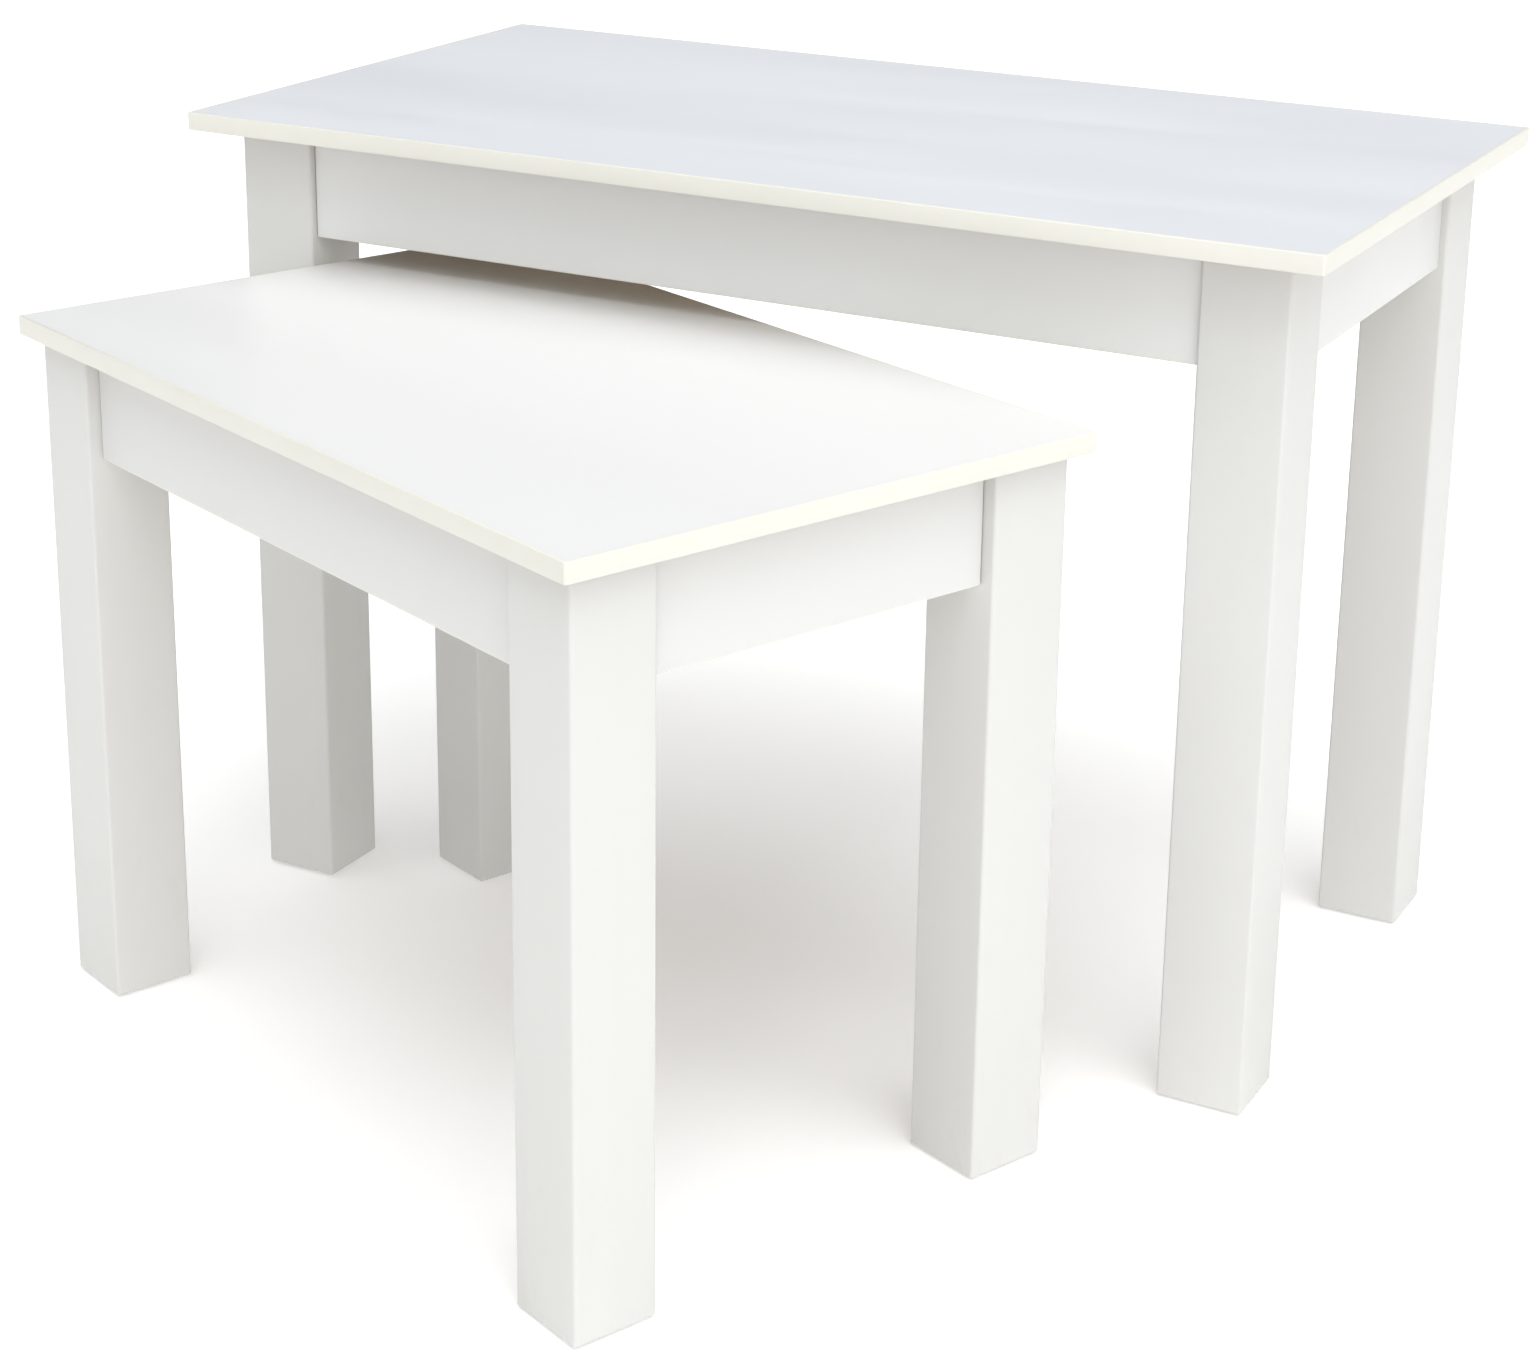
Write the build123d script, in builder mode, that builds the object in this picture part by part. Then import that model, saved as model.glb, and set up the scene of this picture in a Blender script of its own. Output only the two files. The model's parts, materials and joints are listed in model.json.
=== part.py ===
from build123d import *
from dataclasses import dataclass
from math import cos, radians, sin, sqrt
import os

# A set of two nesting tables, in millimetres. The origin is on the floor, below the middle
# of the pair as it stands, with +X along the large table and +Y towards its back.

# The two tables
large_length = 790
large_width = 416
large_height = 553
large_overhang = 26         # from the top's edge to the legs' outer faces
large_setback = 5           # from a leg's outer face to the apron's
small_length = 590
small_width = 366
small_height = 454
small_overhang = 11
small_setback = 9
small_x = -49               # the small table's middle, from the large one's
small_y = -333
small_turn = -22.5          # degrees, seen from above

# Boards and legs, the same on both tables
top_thickness = 12
band_thickness = 2          # plastic band on the top's four edges
band_corner = 1.5           # rounding of the band's upright corners
band_arris = 0.6            # rounding of its long edges
leg_side = 55
leg_arris = 3               # rounding of a leg's long edges
leg_foot_arris = 1
apron_height = 70
apron_thickness = 16
apron_arris = 1.5           # rounding of an apron's upright outer edges
apron_gap = 0.4             # between an apron's end and the leg
strip_thickness = 1         # band on an apron's lower edge

# Fittings
dowel_radius = 4
dowel_length = 30
dowel_pitch = 36
dowel_chamfer = 1
bolt_radius = 3             # hanger bolt: wood thread in the leg, nut on the bracket
bolt_in_leg = 34
bolt_free = 18
bolt_point = 5
bolt_end_chamfer = 0.8
nut_across_flats = 10
nut_height = 5.5
flange_radius = 6.75
flange_thickness = 1.5
plate_thickness = 1.5       # both kinds of bracket are pressed from this sheet
plate_bend = 3              # outer radius of a bracket's bends
plate_hole = 0.4            # room round a shank in a bracket's hole
bracket_height = 40
bracket_gap = 4             # from the leg's inner corner to the bracket
wing_length = 26
wing_screw = 15             # from the bend to the wing's screws
wing_screw_pitch = 22
angle_leg = 20
angle_width = 16
angle_hole = 12             # from the angle's corner to each hole
screw_radius = 1.75
screw_length = 11
screw_point = 3
screw_head_radius = 3.5
screw_head_height = 2.4
screw_head_round = 1.2
cross_length = 4.2
cross_width = 0.9
cross_depth = 1.3
glide_radius = 12
glide_thickness = 2
glide_round = 0.8
glide_pin_radius = 1.5
glide_pin_length = 12
clearance = 0.1             # round each dowel, pin and shank in its hole
half_dowel = dowel_length / 2 + clearance
shank_hole = screw_length + clearance

signs = (-1, 1)
side_names = {-1: "left", 1: "right"}
end_names = {-1: "front", 1: "back"}
on_base = (Align.CENTER, Align.CENTER, Align.MIN)


@dataclass
class Table:
    """One table's sizes, in its own axes: X along its length, Y to its back, Z up."""

    name: str
    length: float
    width: float
    height: float
    overhang: float
    setback: float
    floor: Plane

    def __post_init__(self):
        self.under_top = self.height - top_thickness
        self.under_apron = self.under_top - apron_height
        self.apron_middle = self.under_top - apron_height / 2
        # middles of the legs
        self.leg_x = self.length / 2 - self.overhang - leg_side / 2
        self.leg_y = self.width / 2 - self.overhang - leg_side / 2
        # the legs' faces that the aprons' ends meet
        self.butt_x = self.leg_x - leg_side / 2
        self.butt_y = self.leg_y - leg_side / 2
        # the aprons' inner faces and middles
        self.corner_depth = leg_side - self.setback - apron_thickness
        self.inner_x = self.butt_x + self.corner_depth
        self.inner_y = self.butt_y + self.corner_depth
        self.apron_x = self.inner_x + apron_thickness / 2
        self.apron_y = self.inner_y + apron_thickness / 2
        # the corner bracket's web, from its middle to a bend
        self.web_half = sqrt(2) * self.corner_depth + bracket_gap
        self.corners = [(x, y) for x in signs for y in signs]

    def dowel_places(self):
        """Middles of the dowels, each lying across the joint of an apron and a leg."""
        places = []
        for x, y in self.corners:
            for side in signs:
                z = self.apron_middle + side * dowel_pitch / 2
                places.append(Plane((x * self.butt_x, y * self.apron_y, z), z_dir=(x, 0, 0)))
                places.append(Plane((x * self.apron_x, y * self.butt_y, z), z_dir=(0, y, 0)))
        return places

    def bolt_places(self):
        """The legs' inner corners, with Z pointing to the table's middle."""
        return [
            Plane((x * self.butt_x, y * self.butt_y, self.apron_middle), z_dir=(-x, -y, 0))
            for x, y in self.corners
        ]

    def bracket_places(self):
        """The middles of the corner brackets' outer faces, with X pointing to the legs."""
        step = bracket_gap / sqrt(2)
        return [
            Plane(
                (x * (self.butt_x - step), y * (self.butt_y - step), self.apron_middle),
                x_dir=(x, y, 0),
            )
            for x, y in self.corners
        ]

    def wing_screw_places(self):
        """Heads of the corner brackets' screws, with Z pointing into the aprons."""
        from_leg = self.corner_depth + sqrt(2) * bracket_gap + wing_screw
        along_x = self.butt_x - from_leg
        along_y = self.butt_y - from_leg
        face_x = self.inner_x - plate_thickness
        face_y = self.inner_y - plate_thickness
        places = []
        for x, y in self.corners:
            for side in signs:
                z = self.apron_middle + side * wing_screw_pitch / 2
                places.append(Plane((x * along_x, y * face_y, z), z_dir=(0, y, 0)))
                places.append(Plane((x * face_x, y * along_y, z), z_dir=(x, 0, 0)))
        return places

    def angle_places(self):
        """The angle brackets' corners, under the top on the aprons, with X pointing inwards."""
        places = []
        for side in signs:
            for x in (-self.length / 4, self.length / 4):
                places.append(Plane((x, side * self.inner_y, self.under_top), x_dir=(0, -side, 0)))
            places.append(Plane((side * self.inner_x, 0, self.under_top), x_dir=(-side, 0, 0)))
        return places

    def angle_screw_places(self):
        """Heads of the angle brackets' screws: one into the apron and one up into the top."""
        places = []
        for angle in self.angle_places():
            into_apron = angle.from_local_coords((plate_thickness, 0, -angle_hole))
            into_top = angle.from_local_coords((angle_hole, 0, -plate_thickness))
            places.append(Plane(into_apron, z_dir=-angle.x_dir))
            places.append(Plane(into_top, z_dir=(0, 0, 1)))
        return places


def save(piece, name):
    piece.part.label = name
    export_step(piece.part, f"parts/{name}.step")


def drill(places, radius, depth, start=0):
    """Cuts a round hole along each place's Z into the piece being built."""
    with Locations(*places):
        with Locations((0, 0, start)):
            Cylinder(radius, depth, align=on_base, mode=Mode.SUBTRACT)


def make_group(table, single, places, name, lift=0):
    """Stands copies of one fitting at the places, as one node of separate solids."""
    with BuildPart(table.floor) as group:
        with Locations(*places):
            with Locations((0, 0, lift)):
                add(single.part)
    save(group, f"{table.name}_{name}")


def make_top_board(table):
    with BuildPart(table.floor) as top_board:
        with BuildSketch(table.floor.offset(table.under_top)):
            Rectangle(table.length - 2 * band_thickness, table.width - 2 * band_thickness)
        extrude(amount=top_thickness)
        drill(table.angle_screw_places(), screw_radius + clearance, shank_hole)
    save(top_board, f"{table.name}_top_board")


def make_edge_bands(table):
    """The front and back bands cover the ends of the left and right ones."""
    for end in signs:
        outward = Axis(table.floor.origin, table.floor.y_dir * end)
        with BuildPart(table.floor) as long_band:
            with Locations((0, end * (table.width - band_thickness) / 2, table.under_top)):
                Box(table.length, band_thickness, top_thickness, align=on_base)
            fillet(long_band.edges().filter_by(Axis.Z).group_by(outward)[-1], band_corner)
            rim = long_band.faces().sort_by(outward)[-1].edges()
            fillet(rim.filter_by(Axis.Z, reverse=True), band_arris)
        save(long_band, f"{table.name}_top_edge_{end_names[end]}")

    for side in signs:
        outward = Axis(table.floor.origin, table.floor.x_dir * side)
        with BuildPart(table.floor) as short_band:
            with Locations((side * (table.length - band_thickness) / 2, 0, table.under_top)):
                Box(
                    band_thickness,
                    table.width - 2 * band_thickness,
                    top_thickness,
                    align=on_base,
                )
            rim = short_band.faces().sort_by(outward)[-1].edges()
            fillet(rim.filter_by(Axis.Z, reverse=True), band_arris)
        save(short_band, f"{table.name}_top_edge_{side_names[side]}")


def make_legs(table):
    for x, y in table.corners:
        with BuildPart(table.floor) as leg:
            with BuildSketch(table.floor.offset(glide_thickness)):
                with Locations((x * table.leg_x, y * table.leg_y)):
                    RectangleRounded(leg_side, leg_side, leg_arris)
            extrude(amount=table.under_top - glide_thickness)
            foot = leg.faces().sort_by(Axis.Z)[0]
            fillet(foot.edges(), leg_foot_arris)
            drill(table.dowel_places(), dowel_radius + clearance, 2 * half_dowel, -half_dowel)
            bolt_depth = bolt_in_leg + clearance
            drill(table.bolt_places(), bolt_radius + clearance, bolt_depth, -bolt_depth)
            with Locations((x * table.leg_x, y * table.leg_y, glide_thickness)):
                Cylinder(
                    glide_pin_radius + clearance,
                    glide_pin_length + clearance,
                    align=on_base,
                    mode=Mode.SUBTRACT,
                )
        save(leg, f"{table.name}_leg_{end_names[y]}_{side_names[x]}")


def draw_apron(table, level, middle, size, across, outer):
    """One apron's outline from above, with its two outer corners rounded."""
    with BuildSketch(table.floor.offset(level)) as outline:
        with Locations(middle):
            Rectangle(*size)
        fillet(outline.vertices().group_by(across)[outer], apron_arris)
    return outline.sketch


def make_aprons(table):
    """Four boards between the legs, and the bands on their lower edges."""
    long_board = (2 * (table.butt_x - apron_gap), apron_thickness)
    short_board = (apron_thickness, 2 * (table.butt_y - apron_gap))
    # each board's middle and size, and which of its outline's corners face outwards
    boards = {
        "front": ((0, -table.apron_y), long_board, Axis.Y, 0),
        "back": ((0, table.apron_y), long_board, Axis.Y, -1),
        "left": ((-table.apron_x, 0), short_board, Axis.X, 0),
        "right": ((table.apron_x, 0), short_board, Axis.X, -1),
    }

    board_level = table.under_apron + strip_thickness
    for where, board in boards.items():
        with BuildPart(table.floor) as apron:
            extrude(
                draw_apron(table, board_level, *board),
                amount=apron_height - strip_thickness,
            )
            drill(table.dowel_places(), dowel_radius + clearance, 2 * half_dowel, -half_dowel)
            drill(table.wing_screw_places(), screw_radius + clearance, shank_hole)
            drill(table.angle_screw_places(), screw_radius + clearance, shank_hole)
        save(apron, f"{table.name}_apron_{where}")

    with BuildPart(table.floor) as strips:
        for board in boards.values():
            extrude(draw_apron(table, table.under_apron, *board), amount=strip_thickness)
    save(strips, f"{table.name}_apron_edge_strips")


def make_dowels(table):
    with BuildPart() as dowel:
        Cylinder(dowel_radius, dowel_length)
        chamfer(dowel.edges(), dowel_chamfer)
    make_group(table, dowel, table.dowel_places(), "apron_dowels")


def make_corner_brackets(table):
    """Pressed plates across the corners: a web for the bolt and two wings on the aprons."""
    half = table.web_half
    wing = wing_length / sqrt(2)
    middle = table.corner_depth + sqrt(2) * bracket_gap
    screw_back = wing_screw / sqrt(2)
    with BuildPart() as bracket:
        with BuildSketch():
            with BuildLine():
                FilletPolyline(
                    (-wing, -half - wing),
                    (0, -half),
                    (0, half),
                    (-wing, half + wing),
                    radius=plate_bend,
                )
                offset(amount=plate_thickness, side=Side.LEFT)
            make_face()
        extrude(amount=bracket_height / 2, both=True)
        with Locations(Plane((0, 0, 0), z_dir=(1, 0, 0))):
            Cylinder(bolt_radius + plate_hole, 4 * plate_thickness, mode=Mode.SUBTRACT)
        for side in signs:
            for level in signs:
                height = level * wing_screw_pitch / 2
                hole = (-screw_back, side * (half + screw_back), height)
                with Locations(Plane(hole, z_dir=(1, side, 0))):
                    Cylinder(screw_radius + plate_hole, 4 * plate_thickness, mode=Mode.SUBTRACT)
    make_group(table, bracket, table.bracket_places(), "corner_brackets")


def make_hanger_bolts(table):
    """Headless bolts, pointed at the leg's end."""
    with BuildPart() as bolt:
        with BuildSketch(Plane.XZ):
            Polygon(
                (0, -bolt_in_leg),
                (bolt_radius, bolt_point - bolt_in_leg),
                (bolt_radius, bolt_free - bolt_end_chamfer),
                (bolt_radius - bolt_end_chamfer, bolt_free),
                (0, bolt_free),
                align=None,
            )
        revolve(axis=Axis.Z)
    make_group(table, bolt, table.bolt_places(), "hanger_bolts")


def make_flange_nuts(table):
    with BuildPart() as nut:
        Cylinder(flange_radius, flange_thickness, align=on_base)
        with BuildSketch(Plane.XY.offset(flange_thickness)):
            RegularPolygon(nut_across_flats / 2, 6, major_radius=False)
        extrude(amount=nut_height)
        Hole(bolt_radius + clearance)
    on_bracket = bracket_gap + plate_thickness
    make_group(table, nut, table.bolt_places(), "flange_nuts", on_bracket)


def make_angle_brackets(table):
    with BuildPart() as angle:
        with BuildSketch(Plane.XZ):
            with BuildLine():
                FilletPolyline((0, -angle_leg), (0, 0), (angle_leg, 0), radius=plate_bend)
                offset(amount=plate_thickness, side=Side.RIGHT)
            make_face()
        extrude(amount=angle_width / 2, both=True)
        holes = [Plane((0, 0, -angle_hole), z_dir=(1, 0, 0)), Plane((angle_hole, 0, 0))]
        with Locations(*holes):
            Cylinder(screw_radius + plate_hole, 4 * plate_thickness, mode=Mode.SUBTRACT)
    make_group(table, angle, table.angle_places(), "angle_brackets")


def make_screws(table):
    """One pan-head screw, used in both kinds of bracket, with its head below its origin."""
    with BuildPart() as screw:
        with BuildSketch(Plane.XZ):
            Polygon(
                (0, 0),
                (screw_radius, 0),
                (screw_radius, screw_length - screw_point),
                (0, screw_length),
                align=None,
            )
        revolve(axis=Axis.Z)
        with Locations((0, 0, -screw_head_height)):
            Cylinder(screw_head_radius, screw_head_height, align=on_base)
        crown = screw.faces().sort_by(Axis.Z)[0]
        fillet(crown.edges(), screw_head_round)
        with Locations((0, 0, -screw_head_height)):
            Box(cross_length, cross_width, cross_depth, align=on_base, mode=Mode.SUBTRACT)
            Box(cross_width, cross_length, cross_depth, align=on_base, mode=Mode.SUBTRACT)
    make_group(table, screw, table.wing_screw_places(), "corner_bracket_screws")
    make_group(table, screw, table.angle_screw_places(), "angle_bracket_screws")


def make_glides(table):
    """Nail-in feet: a round pad with its pin up the middle of the leg."""
    with BuildPart() as glide:
        Cylinder(glide_radius, glide_thickness, align=on_base)
        sole = glide.faces().sort_by(Axis.Z)[0]
        fillet(sole.edges(), glide_round)
        with Locations((0, 0, glide_thickness)):
            Cylinder(glide_pin_radius, glide_pin_length, align=on_base)
    feet = [Plane((x * table.leg_x, y * table.leg_y, 0)) for x, y in table.corners]
    make_group(table, glide, feet, "foot_glides")


def make_table(table):
    make_top_board(table)
    make_edge_bands(table)
    make_legs(table)
    make_aprons(table)
    make_dowels(table)
    make_corner_brackets(table)
    make_hanger_bolts(table)
    make_flange_nuts(table)
    make_angle_brackets(table)
    make_screws(table)
    make_glides(table)


# The pair's depth runs from the large top's back edge to the small top's foremost corner,
# which is rounded, and its middle is the origin.
turn_cos = cos(radians(small_turn))
turn_sin = sin(radians(small_turn))
corner_x = small_length / 2 - band_corner
corner_y = small_width / 2 - band_corner
reach = corner_x * abs(turn_sin) + corner_y * turn_cos + band_corner
pair_back = large_width / 2
pair_front = small_y - reach
large_y = -(pair_back + pair_front) / 2

large_table = Table(
    name="large",
    length=large_length,
    width=large_width,
    height=large_height,
    overhang=large_overhang,
    setback=large_setback,
    floor=Plane((0, large_y, 0)),
)
small_table = Table(
    name="small",
    length=small_length,
    width=small_width,
    height=small_height,
    overhang=small_overhang,
    setback=small_setback,
    floor=Plane((small_x, large_y + small_y, 0), x_dir=(turn_cos, turn_sin, 0)),
)

os.makedirs("parts", exist_ok=True)
make_table(large_table)
make_table(small_table)
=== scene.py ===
import json
from math import pi, radians

import bpy
from mathutils import Matrix, Vector


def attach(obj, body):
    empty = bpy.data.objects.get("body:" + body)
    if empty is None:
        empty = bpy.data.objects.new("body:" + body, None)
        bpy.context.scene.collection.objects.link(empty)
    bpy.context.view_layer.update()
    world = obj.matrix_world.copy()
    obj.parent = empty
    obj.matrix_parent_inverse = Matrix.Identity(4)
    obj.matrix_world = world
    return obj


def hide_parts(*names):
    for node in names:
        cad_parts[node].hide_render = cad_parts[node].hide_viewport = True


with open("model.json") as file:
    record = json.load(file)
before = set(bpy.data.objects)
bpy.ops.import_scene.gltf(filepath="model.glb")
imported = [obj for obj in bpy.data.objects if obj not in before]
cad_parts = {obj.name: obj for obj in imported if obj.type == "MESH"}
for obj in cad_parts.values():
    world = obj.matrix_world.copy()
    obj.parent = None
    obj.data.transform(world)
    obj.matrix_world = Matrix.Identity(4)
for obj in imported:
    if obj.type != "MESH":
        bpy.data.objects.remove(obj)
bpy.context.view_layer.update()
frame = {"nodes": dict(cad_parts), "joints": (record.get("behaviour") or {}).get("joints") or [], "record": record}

print("frame loaded")

mounts = {mount["name"]: mount for mount in frame["record"]["mounts"]}
swing = frame["joints"][0]
tables = ("large", "small")
straightDown = -0.99       # a face whose normal is lower than this looks at the floor
smoothAngle = 32           # degrees; flatter meetings of faces are shaded smooth


def placeOf(table, turn):  # a table's own axes: x along its length, origin on the floor below its middle
    x, y, _ = mounts[table + "_top"]["pos_m"]
    return Matrix.Translation((x, y, 0)) @ Matrix.Rotation(turn, 4, "Z")


# the hinge's last stop is where the small table stands straight under the large one
turns = {"large": 0, "small": -radians(swing["range_deg"][1])}
places = {table: placeOf(table, turns[table]) for table in tables}


def cornersOf(table, node):  # lowest and highest corners of a CAD node, in its table's own axes
    toTable = places[table].inverted()
    points = [toTable @ vertex.co for vertex in frame["nodes"][f"{table}_{node}"].data.vertices]
    low = Vector([min(point[axis] for point in points) for axis in range(3)])
    high = Vector([max(point[axis] for point in points) for axis in range(3)])
    return low, high


class Wire:  # a node's output, so that sums of them read as sums
    def __init__(self, tree, socket):
        self.tree = tree
        self.socket = socket

    def sum(self, operation, left, right):
        return addNode(self.tree, "ShaderNodeMath", {"operation": operation}, {0: left, 1: right})

    def __add__(self, other):
        return self.sum("ADD", self, other)

    def __radd__(self, other):
        return self.sum("ADD", other, self)

    def __sub__(self, other):
        return self.sum("SUBTRACT", self, other)

    def __rsub__(self, other):
        return self.sum("SUBTRACT", other, self)

    def __mul__(self, other):
        return self.sum("MULTIPLY", self, other)

    def __rmul__(self, other):
        return self.sum("MULTIPLY", other, self)


def addNode(tree, kind, settings=None, values=None, output=0):
    node = tree.nodes.new(kind)
    for name, value in (settings or {}).items():
        if name == "stops":
            while len(node.color_ramp.elements) < len(value):
                node.color_ramp.elements.new(1)
            for element, (position, shade) in zip(node.color_ramp.elements, value):
                element.position = position
                element.color = (shade, shade, shade, 1)
        else:
            setattr(node, name, value)
    for name, value in (values or {}).items():
        if isinstance(value, Wire):
            tree.links.new(value.socket, node.inputs[name])
        else:
            node.inputs[name].default_value = value
    return Wire(tree, node.outputs[output])


def mixColours(factor, first, second):
    ends = [value if isinstance(value, Wire) else (*value, 1) for value in (first, second)]
    values = {0: factor, 6: ends[0], 7: ends[1]}
    return addNode(factor.tree, "ShaderNodeMix", {"data_type": "RGBA"}, values, 2)


class Finish:  # a material in the making, with one principled shader
    def __init__(self, name, turn=0):
        self.material = bpy.data.materials.new(name)
        self.material.use_nodes = True
        self.tree = self.material.node_tree
        self.shader = next(n for n in self.tree.nodes if n.type == "BSDF_PRINCIPLED")
        coordinates = addNode(self.tree, "ShaderNodeTexCoord", output=3)
        turned = {"Vector": coordinates, "Rotation": (0, 0, -turn)}
        self.place = addNode(self.tree, "ShaderNodeMapping", {"vector_type": "POINT"}, turned)

    def height(self):
        return addNode(self.tree, "ShaderNodeSeparateXYZ", None, {0: self.place}, 2)

    def stretched(self, x, y, z):
        values = {0: self.place, 1: (x, y, z)}
        return addNode(self.tree, "ShaderNodeVectorMath", {"operation": "MULTIPLY"}, values)

    def noise(self, scale, detail=2, roughness=0.5, at=None, twist=0):
        values = {"Vector": at or self.place, "Scale": scale, "Detail": detail}
        values |= {"Roughness": roughness, "Distortion": twist}
        return addNode(self.tree, "ShaderNodeTexNoise", None, values)

    def ramp(self, value, *stops):
        return addNode(self.tree, "ShaderNodeValToRGB", {"stops": stops}, {"Fac": value})

    def bump(self, height, depth, strength=1):
        values = {"Height": height, "Distance": depth, "Strength": strength}
        return addNode(self.tree, "ShaderNodeBump", None, values)

    def set(self, **values):
        for name, value in values.items():
            socket = self.shader.inputs[name.replace("_", " ")]
            if isinstance(value, Wire):
                self.tree.links.new(value.socket, socket)
            else:
                socket.default_value = value
        return self.material


laminate = {
    "cloudScale": 2.6,
    "cloudDepth": 0.6,         # how far the faint clouds go towards the shaded colour
    "wipeScale": 5,            # dull marks left by wiping, drawn out along the board
    "peelScale": 900,          # the press plate's fine orange peel
    "peelDepth": 0.00002,      # metres
    "smooth": 0.30,
    "dull": 0.44,
    "shadeSheetLight": (0.36, 0.285, 0.205),   # painted shade: a brown sheet on the boards' undersides and the aprons' inner faces, darkening and warming the shade under the tops
    "shadeSheetDark": (0.27, 0.205, 0.14),
    "shadeSheetScale": 320,
    "shadeSheetDulling": 0.3,         # how much rougher the painted-shade faces are
}


def laminateFinish(name, colour, shaded, turn):
    finish = Finish(name, turn)
    # the brown mixed in on the marked faces is painted shade under the tops, not a colour of the laminate
    shadeSheetMask = addNode(finish.tree, "ShaderNodeAttribute", {"attribute_name": "rawSide"}, output=2)
    grain = finish.noise(laminate["shadeSheetScale"], 4, 0.65)
    shadeSheetColour = mixColours(grain, laminate["shadeSheetLight"], laminate["shadeSheetDark"])
    cloud = finish.noise(laminate["cloudScale"], 3, 0.55)
    wiped = finish.noise(laminate["wipeScale"], 5, 0.62, finish.stretched(0.35, 2.2, 2.2), 0.6)
    wiped = finish.ramp(wiped, (0.36, 0), (0.68, 1))
    peel = finish.noise(laminate["peelScale"], 2, 0.6)
    face = mixColours(laminate["cloudDepth"] * cloud, colour, shaded)
    gloss = (laminate["dull"] - laminate["smooth"]) * wiped + laminate["smooth"]
    return finish.set(
        Base_Color=mixColours(shadeSheetMask, face, shadeSheetColour),
        Roughness=gloss + laminate["shadeSheetDulling"] * shadeSheetMask,
        Specular_IOR_Level=0.42,
        Normal=finish.bump(peel, laminate["peelDepth"], 0.5),
    )


foil = {
    "colour": (0.705, 0.703, 0.686),
    "shaded": (0.672, 0.668, 0.646),
    "streakScale": 60,         # faint upright streaks left by the wrapping rollers
    "streakDepth": 0.000015,   # metres
    "patchScale": 7,
    "scuffColour": (0.60, 0.55, 0.47),
    "scuffScale": 38,
    "scuffDepth": 0.30,        # how far the scuffs go towards their colour
    "scuffTop": 0.16,          # metres above the floor where shoe and mop marks fade out
    "smooth": 0.32,
    "dull": 0.50,
}


def foilFinish(turn, name):
    finish = Finish(name, turn)
    streak = finish.noise(foil["streakScale"], 3, 0.6, finish.stretched(1, 1, 0.02))
    patch = finish.noise(foil["patchScale"], 3, 0.6)
    low = finish.ramp(finish.height() * (1 / foil["scuffTop"]), (0, 1), (0.25, 0.55), (1, 0))
    marks = finish.noise(foil["scuffScale"], 5, 0.7, finish.stretched(1, 1, 0.45), 0.8)
    scuff = finish.ramp(marks, (0.56, 0), (0.74, 1))
    body = mixColours(0.5 * streak + 0.5 * patch, foil["colour"], foil["shaded"])
    return finish.set(
        Base_Color=mixColours(foil["scuffDepth"] * (scuff * low), body, foil["scuffColour"]),
        Roughness=(foil["dull"] - foil["smooth"]) * patch + foil["smooth"],
        Specular_IOR_Level=0.42,
        Normal=finish.bump(streak, foil["streakDepth"], 0.6),
    )


band = {
    "colour": (0.775, 0.765, 0.70),
    "shaded": (0.745, 0.73, 0.66),
    "chatterScale": 420,       # the trimming cutter's marks across the band
    "chatterDepth": 0.000012,  # metres
    "toneScale": 14,
    "wearScale": 30,
    "smooth": 0.26,
    "dull": 0.40,
}


def bandFinish(turn, name):
    finish = Finish(name, turn)
    tone = finish.noise(band["toneScale"], 3, 0.55)
    worn = finish.noise(band["wearScale"], 4, 0.6)
    chatter = finish.noise(band["chatterScale"], 1, 0.4, finish.stretched(1, 1, 0.04))
    return finish.set(
        Base_Color=mixColours(tone, band["colour"], band["shaded"]),
        Roughness=(band["dull"] - band["smooth"]) * worn + band["smooth"],
        Specular_IOR_Level=0.5,
        Normal=finish.bump(chatter, band["chatterDepth"], 0.5),
    )


wood = {
    "light": (0.62, 0.42, 0.24),
    "dark": (0.40, 0.24, 0.12),
    "grainScale": 240,
    "fleckScale": 900,
    "grainDepth": 0.00006,
}


def beechFinish():
    finish = Finish("beechDowel")
    grain = finish.noise(wood["grainScale"], 4, 0.6, finish.stretched(1, 1, 0.6), 1.5)
    fleck = finish.ramp(finish.noise(wood["fleckScale"], 1), (0.6, 0), (0.68, 1))
    return finish.set(
        Base_Color=mixColours(0.7 * grain + 0.3 * fleck, wood["light"], wood["dark"]),
        Roughness=0.2 * grain + 0.55,
        Normal=finish.bump(grain, wood["grainDepth"], 0.6),
    )


zinc = {
    "bright": (0.70, 0.72, 0.74),
    "milky": (0.55, 0.56, 0.56),
    "tintScale": 55,
    "scratchScale": 700,
    "scratchDepth": 0.00001,
}


def zincFinish():
    finish = Finish("zincPlate")
    tint = finish.noise(zinc["tintScale"], 4, 0.6)
    scratch = finish.noise(zinc["scratchScale"], 2, 0.5, finish.stretched(1, 0.08, 1), 0.3)
    return finish.set(
        Base_Color=mixColours(tint, zinc["bright"], zinc["milky"]),
        Metallic=1.0,
        Roughness=0.18 * tint + 0.12 * scratch + 0.24,
        Normal=finish.bump(scratch, zinc["scratchDepth"], 0.5),
    )


glide = {
    "colour": (0.70, 0.69, 0.66),
    "dirt": (0.40, 0.37, 0.32),
    "dirtScale": 160,
    "dirtDepth": 0.5,
    "grainScale": 1300,
    "grainDepth": 0.00003,
}


def glideFinish():
    finish = Finish("glideNylon")
    dirt = finish.ramp(finish.noise(glide["dirtScale"], 4, 0.65), (0.5, 0), (0.75, 1))
    return finish.set(
        Base_Color=mixColours(glide["dirtDepth"] * dirt, glide["colour"], glide["dirt"]),
        Roughness=0.2 * dirt + 0.45,
        Normal=finish.bump(finish.noise(glide["grainScale"], 2), glide["grainDepth"], 0.5),
    )


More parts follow.
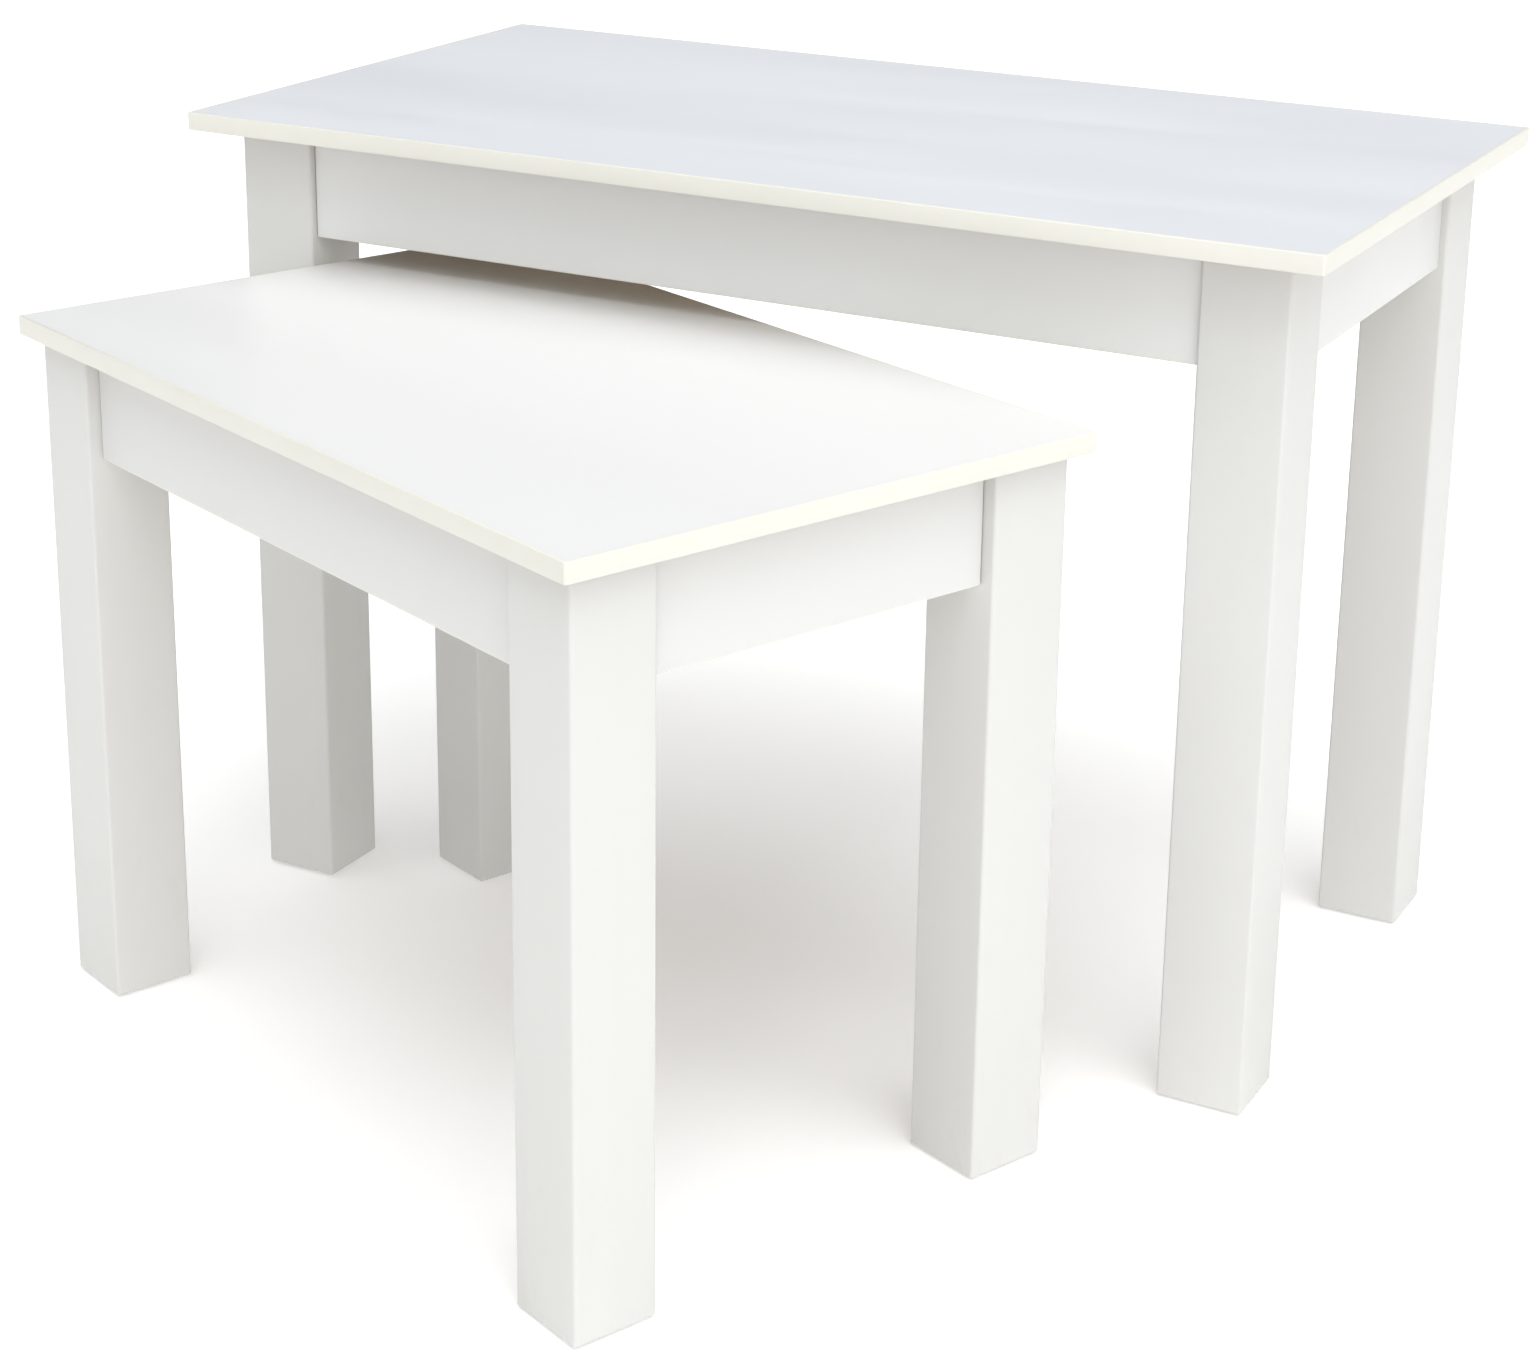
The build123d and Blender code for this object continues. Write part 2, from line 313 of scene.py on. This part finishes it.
boardTonesAndPaintedLight = {
    "largeTop": ((0.738, 0.755, 0.785), (0.72, 0.735, 0.765)),
    "smallTop": ((0.762, 0.764, 0.757), (0.744, 0.746, 0.736)),
    # the aprons are one laminate, but the large aprons are painted lighter (painted light) and the small aprons
    # darker (painted shade) for the light that falls on each
    "largeApron": ((0.785, 0.785, 0.773), (0.768, 0.767, 0.752)),
    "smallApron": ((0.735, 0.735, 0.722), (0.716, 0.714, 0.699)),
}
shared = {"beech": beechFinish(), "zinc_steel": zincFinish(), "glide_plastic": glideFinish()}
finishes = {
    table: {
        "top_laminate": laminateFinish(table + "TopLaminate", *boardTonesAndPaintedLight[table + "Top"], turns[table]),
        "apron_laminate": laminateFinish(table + "ApronLaminate", *boardTonesAndPaintedLight[table + "Apron"], turns[table]),
        "leg_foil": foilFinish(turns[table], table + "LegFoil"),
        "edge_band": bandFinish(turns[table], table + "EdgeBand"),
        **shared,
    }
    for table in tables
}
slots = {part["node"]: part["material_slot"] for part in frame["record"]["subparts"]}
for node, slotName in slots.items():
    mesh = frame["nodes"][node].data
    mesh.materials.clear()
    mesh.materials.append(finishes[node.split("_")[0]][slotName])


def markPaintedShade(mesh, getsPaintedShade):  # which faces of a board get the brown painted shade
    layer = mesh.attributes.new("rawSide", "FLOAT", "FACE")
    for face, entry in zip(mesh.polygons, layer.data):
        entry.value = 1 if getsPaintedShade(face) else 0


for table in tables:
    # the tops' downward faces get the brown painted shade
    markPaintedShade(frame["nodes"][table + "_top_board"].data, lambda face: face.normal.z < straightDown)
print("finishes mixed")


def addBlock(name, low, high):  # a cuboid between two corners
    bpy.ops.object.select_all(action="DESELECT")
    bpy.ops.mesh.primitive_cube_add(size=1, location=(low + high) / 2, scale=high - low)
    block = bpy.context.object
    block.name = block.data.name = name
    bpy.ops.object.transform_apply(location=True, rotation=True, scale=True)
    return block


def bevelEdges(piece, chosen, width, steps):  # picks edges by their two ends, then rounds them
    bpy.context.view_layer.objects.active = piece
    bpy.ops.object.mode_set(mode="EDIT")
    bpy.ops.mesh.select_mode(type="EDGE")
    bpy.ops.mesh.select_all(action="DESELECT")
    bpy.ops.object.mode_set(mode="OBJECT")
    points = piece.data.vertices
    for edge in piece.data.edges:
        edge.select = chosen(*(points[index].co for index in edge.vertices))
    bpy.ops.object.mode_set(mode="EDIT")
    bpy.ops.mesh.bevel(offset=width, segments=steps, affect="EDGES")
    bpy.ops.object.mode_set(mode="OBJECT")


def smooth(piece):
    bpy.ops.object.select_all(action="DESELECT")
    piece.select_set(True)
    bpy.context.view_layer.objects.active = piece
    bpy.ops.object.shade_smooth_by_angle(angle=radians(smoothAngle))


def near(first, second):
    return abs(first - second) < 1e-5


def copyOf(piece, name):
    bpy.ops.object.select_all(action="DESELECT")
    piece.select_set(True)
    bpy.context.view_layer.objects.active = piece
    bpy.ops.object.duplicate()
    bpy.context.object.name = bpy.context.object.data.name = name
    return bpy.context.object


def handIn(piece, table, nodes):  # turns a finished piece into place, gives it the finish of the CAD nodes it replaces and hides them
    nodes = [f"{table}_{node}" for node in nodes]
    piece.data.transform(places[table])
    piece.data.update()
    piece.data.materials.clear()
    piece.data.materials.append(finishes[table][slots[nodes[0]]])
    smooth(piece)
    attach(piece, table + "_table")
    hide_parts(*nodes)


leg = {
    "longEdge": 0.002,         # rounding of the upright edges
    "footEdge": 0.001,
    "foilTurn": 0.0005,        # the turned-in margin; with the step it fits inside the roundings' rest
    "foilStep": 0.0003,
}


def pressedFoot(foot, bottom):  # the foil's margin stands a little below the leg's end
    bpy.context.view_layer.objects.active = foot
    bpy.ops.object.mode_set(mode="EDIT")
    bpy.ops.mesh.select_mode(type="FACE")
    bpy.ops.mesh.select_all(action="DESELECT")
    bpy.ops.object.mode_set(mode="OBJECT")
    for face in foot.data.polygons:
        face.select = face.normal.z < straightDown and near(face.center.z, bottom)
    bpy.ops.object.mode_set(mode="EDIT")
    bpy.ops.mesh.inset(thickness=leg["foilTurn"])
    bpy.ops.mesh.inset(thickness=leg["foilStep"], depth=-leg["foilStep"])
    bpy.ops.object.mode_set(mode="OBJECT")


def makeLegs(table):
    ends = [f"leg_{end}_{side}" for end in ("front", "back") for side in ("left", "right")]
    low, high = cornersOf(table, ends[0])
    pattern = addBlock(table + "LegPattern", low, high)
    bevelEdges(pattern, lambda a, b: not near(a.z, b.z), leg["longEdge"], 7)
    rim = lambda a, b: near(a.z, low.z) and near(b.z, low.z)
    bevelEdges(pattern, rim, leg["footEdge"], 3)
    pressedFoot(pattern, low.z)
    for end in ends:
        piece = copyOf(pattern, f"{table}_{end}_foil")
        piece.data.transform(Matrix.Translation(cornersOf(table, end)[0] - low))
        handIn(piece, table, [end])
    bpy.data.objects.remove(pattern)


edge = {
    "corner": 0.0015,          # rounding of the upright corners
    "arris": 0.0006,
    "glueLine": 0.00015,       # hairline along the joint to the board
}


def makeBands(table):
    for axis, sides in ((1, ("front", "back")), (0, ("left", "right"))):
        for side in sides:
            name = "top_edge_" + side
            low, high = cornersOf(table, name)
            outer = low[axis] if abs(low[axis]) > abs(high[axis]) else high[axis]
            inner = low[axis] + high[axis] - outer
            piece = addBlock(f"{table}_{name}_band", low, high)
            upright = lambda a, b: not near(a.z, b.z) and near(a[axis], outer)
            if axis == 1:
                bevelEdges(piece, upright, edge["corner"], 7)
            onRim = lambda a, b: near(a.z, b.z) and not (near(a[axis], inner) and near(b[axis], inner))
            rim = lambda a, b: onRim(a, b) and (axis == 1 or near(a[axis], b[axis]))
            bevelEdges(piece, rim, edge["arris"], 3)
            onTop = lambda a, b: near(a.z, high.z) and near(b.z, high.z)
            joint = lambda a, b: onTop(a, b) and near(a[axis], inner) and near(b[axis], inner)
            bevelEdges(piece, joint, edge["glueLine"], 1)
            handIn(piece, table, [name])


panel = {
    "arris": 0.0015,           # rounding of an apron's upright outer edges
    "lowerEdge": 0.0004,
}


def roundedPanel(name, low, high):  # a board on edge, rounded where its ends meet the legs
    axis = 1 if high.x - low.x > high.y - low.y else 0
    outer = low[axis] if abs(low[axis]) > abs(high[axis]) else high[axis]
    piece = addBlock(name, low, high)
    bevelEdges(piece, lambda a, b: not near(a.z, b.z) and near(a[axis], outer), panel["arris"], 6)
    return piece


def makeAprons(table):
    strips = []
    stripLow, _ = cornersOf(table, "apron_edge_strips")
    for side in ("front", "back", "left", "right"):
        low, high = cornersOf(table, "apron_" + side)
        board = roundedPanel(f"{table}_apron_{side}_board", low, high)
        inward = -(low + high).to_2d().normalized()
        # the aprons' inner faces get the brown painted shade too
        markPaintedShade(board.data, lambda face: face.normal.to_2d().dot(inward) > -straightDown)
        handIn(board, table, ["apron_" + side])
        stripTop = low.z
        strip = roundedPanel(table + "Strip", Vector((*low.xy, stripLow.z)), Vector((*high.xy, stripTop)))
        under = lambda a, b: near(a.z, stripLow.z) and near(b.z, stripLow.z)
        bevelEdges(strip, under, panel["lowerEdge"], 2)
        strips.append(strip)
    bpy.ops.object.select_all(action="DESELECT")
    for strip in strips:
        strip.select_set(True)
    bpy.context.view_layer.objects.active = strips[0]
    bpy.ops.object.join()
    strips[0].name = strips[0].data.name = table + "_apron_strips"
    handIn(strips[0], table, ["apron_edge_strips"])


for table in tables:
    makeLegs(table)
    makeBands(table)
    makeAprons(table)
    print(table, "table's boards and legs made")

studio = {
    "floorSize": 60,
    "floorColour": (0.95, 0.947, 0.94),
    "floorGlow": 0.25,         # the floor is a lit sweep, which lifts the shadows
    "skyLight": 0.18,          # white to look at, but this dim as a light
    "lights": {                # where the light comes from, its strength and spread, and its colour
        "overheadSoftBox": ((0.05, -0.1, 1.0), 2.25, 76, (0.97, 0.985, 1.0)),
        "rightSoftBox": ((0.70, -0.57, 0.43), 1.35, 75, (1.0, 1.0, 0.995)),
        "frontSoftBox": ((0.10, -0.92, 0.40), 0.22, 75, (1.0, 0.995, 0.985)),
    },
    "panelPlace": (0.55, -0.55, 2.2),  # metres
    "panelSize": 1.2,
    "panelPower": 9.0,
}
bpy.ops.object.select_all(action="DESELECT")
bpy.ops.mesh.primitive_plane_add(size=studio["floorSize"])
floor = bpy.context.object
floor.name = "studioFloor"
paint = Finish("floorPaint")
floor.data.materials.append(
    paint.set(
        Base_Color=(*studio["floorColour"], 1),
        Roughness=0.9,
        Specular_IOR_Level=0.1,
        Emission_Color=(1, 1, 1, 1),
        Emission_Strength=studio["floorGlow"],
    )
)

world = bpy.data.worlds.new("studioWorld")
bpy.context.scene.world = world
world.use_nodes = True
backdrop = addNode(world.node_tree, "ShaderNodeLightPath")
sky = world.node_tree.nodes["Background"]
sky.inputs["Color"].default_value = (1, 1, 1, 1)
strength = (1 - studio["skyLight"]) * backdrop + studio["skyLight"]
world.node_tree.links.new(strength.socket, sky.inputs["Strength"])

for name, (direction, power, spread, colour) in studio["lights"].items():
    lamp = bpy.data.lights.new(name, "SUN")
    lamp.energy = power
    lamp.angle = radians(spread)
    lamp.color = colour
    softBox = bpy.data.objects.new(name, lamp)
    bpy.context.scene.collection.objects.link(softBox)
    softBox.rotation_euler = Vector(direction).to_track_quat("Z", "Y").to_euler()
    softBox.visible_glossy = name == "overheadSoftBox"  # side lights would wash out the tops

panelLamp = bpy.data.lights.new("panelLight", "AREA")
panelLamp.size = studio["panelSize"]
panelLamp.energy = studio["panelPower"]
panelLight = bpy.data.objects.new("panelLight", panelLamp)
bpy.context.scene.collection.objects.link(panelLight)
panelLight.location = studio["panelPlace"]

camera = {
    "lens": 72.99,
    "across": 29.572,          # degrees
    "down": 17.298,
    "roll": 0.289,
    "fromLargeTable": (0.9150, -1.8379, 0.9602),
    "shift": (0.055, -0.151),
}
lensData = bpy.data.cameras.new("studioCamera")
lensData.lens = camera["lens"]
lensData.sensor_width = 36
lensData.shift_x, lensData.shift_y = camera["shift"]
lensData.clip_end = 200
eye = bpy.data.objects.new("studioCamera", lensData)
bpy.context.scene.collection.objects.link(eye)
eye.location = places["large"] @ Vector(camera["fromLargeTable"])
pan = Matrix.Rotation(radians(camera["across"]), 3, "Z")
tilt = Matrix.Rotation(pi / 2 - radians(camera["down"]), 3, "X")
roll = Matrix.Rotation(radians(camera["roll"]), 3, "Z")
eye.rotation_euler = (pan @ tilt @ roll).to_euler()
bpy.context.scene.camera = eye
bpy.context.scene.view_settings.view_transform = "Standard"
print("studio ready")
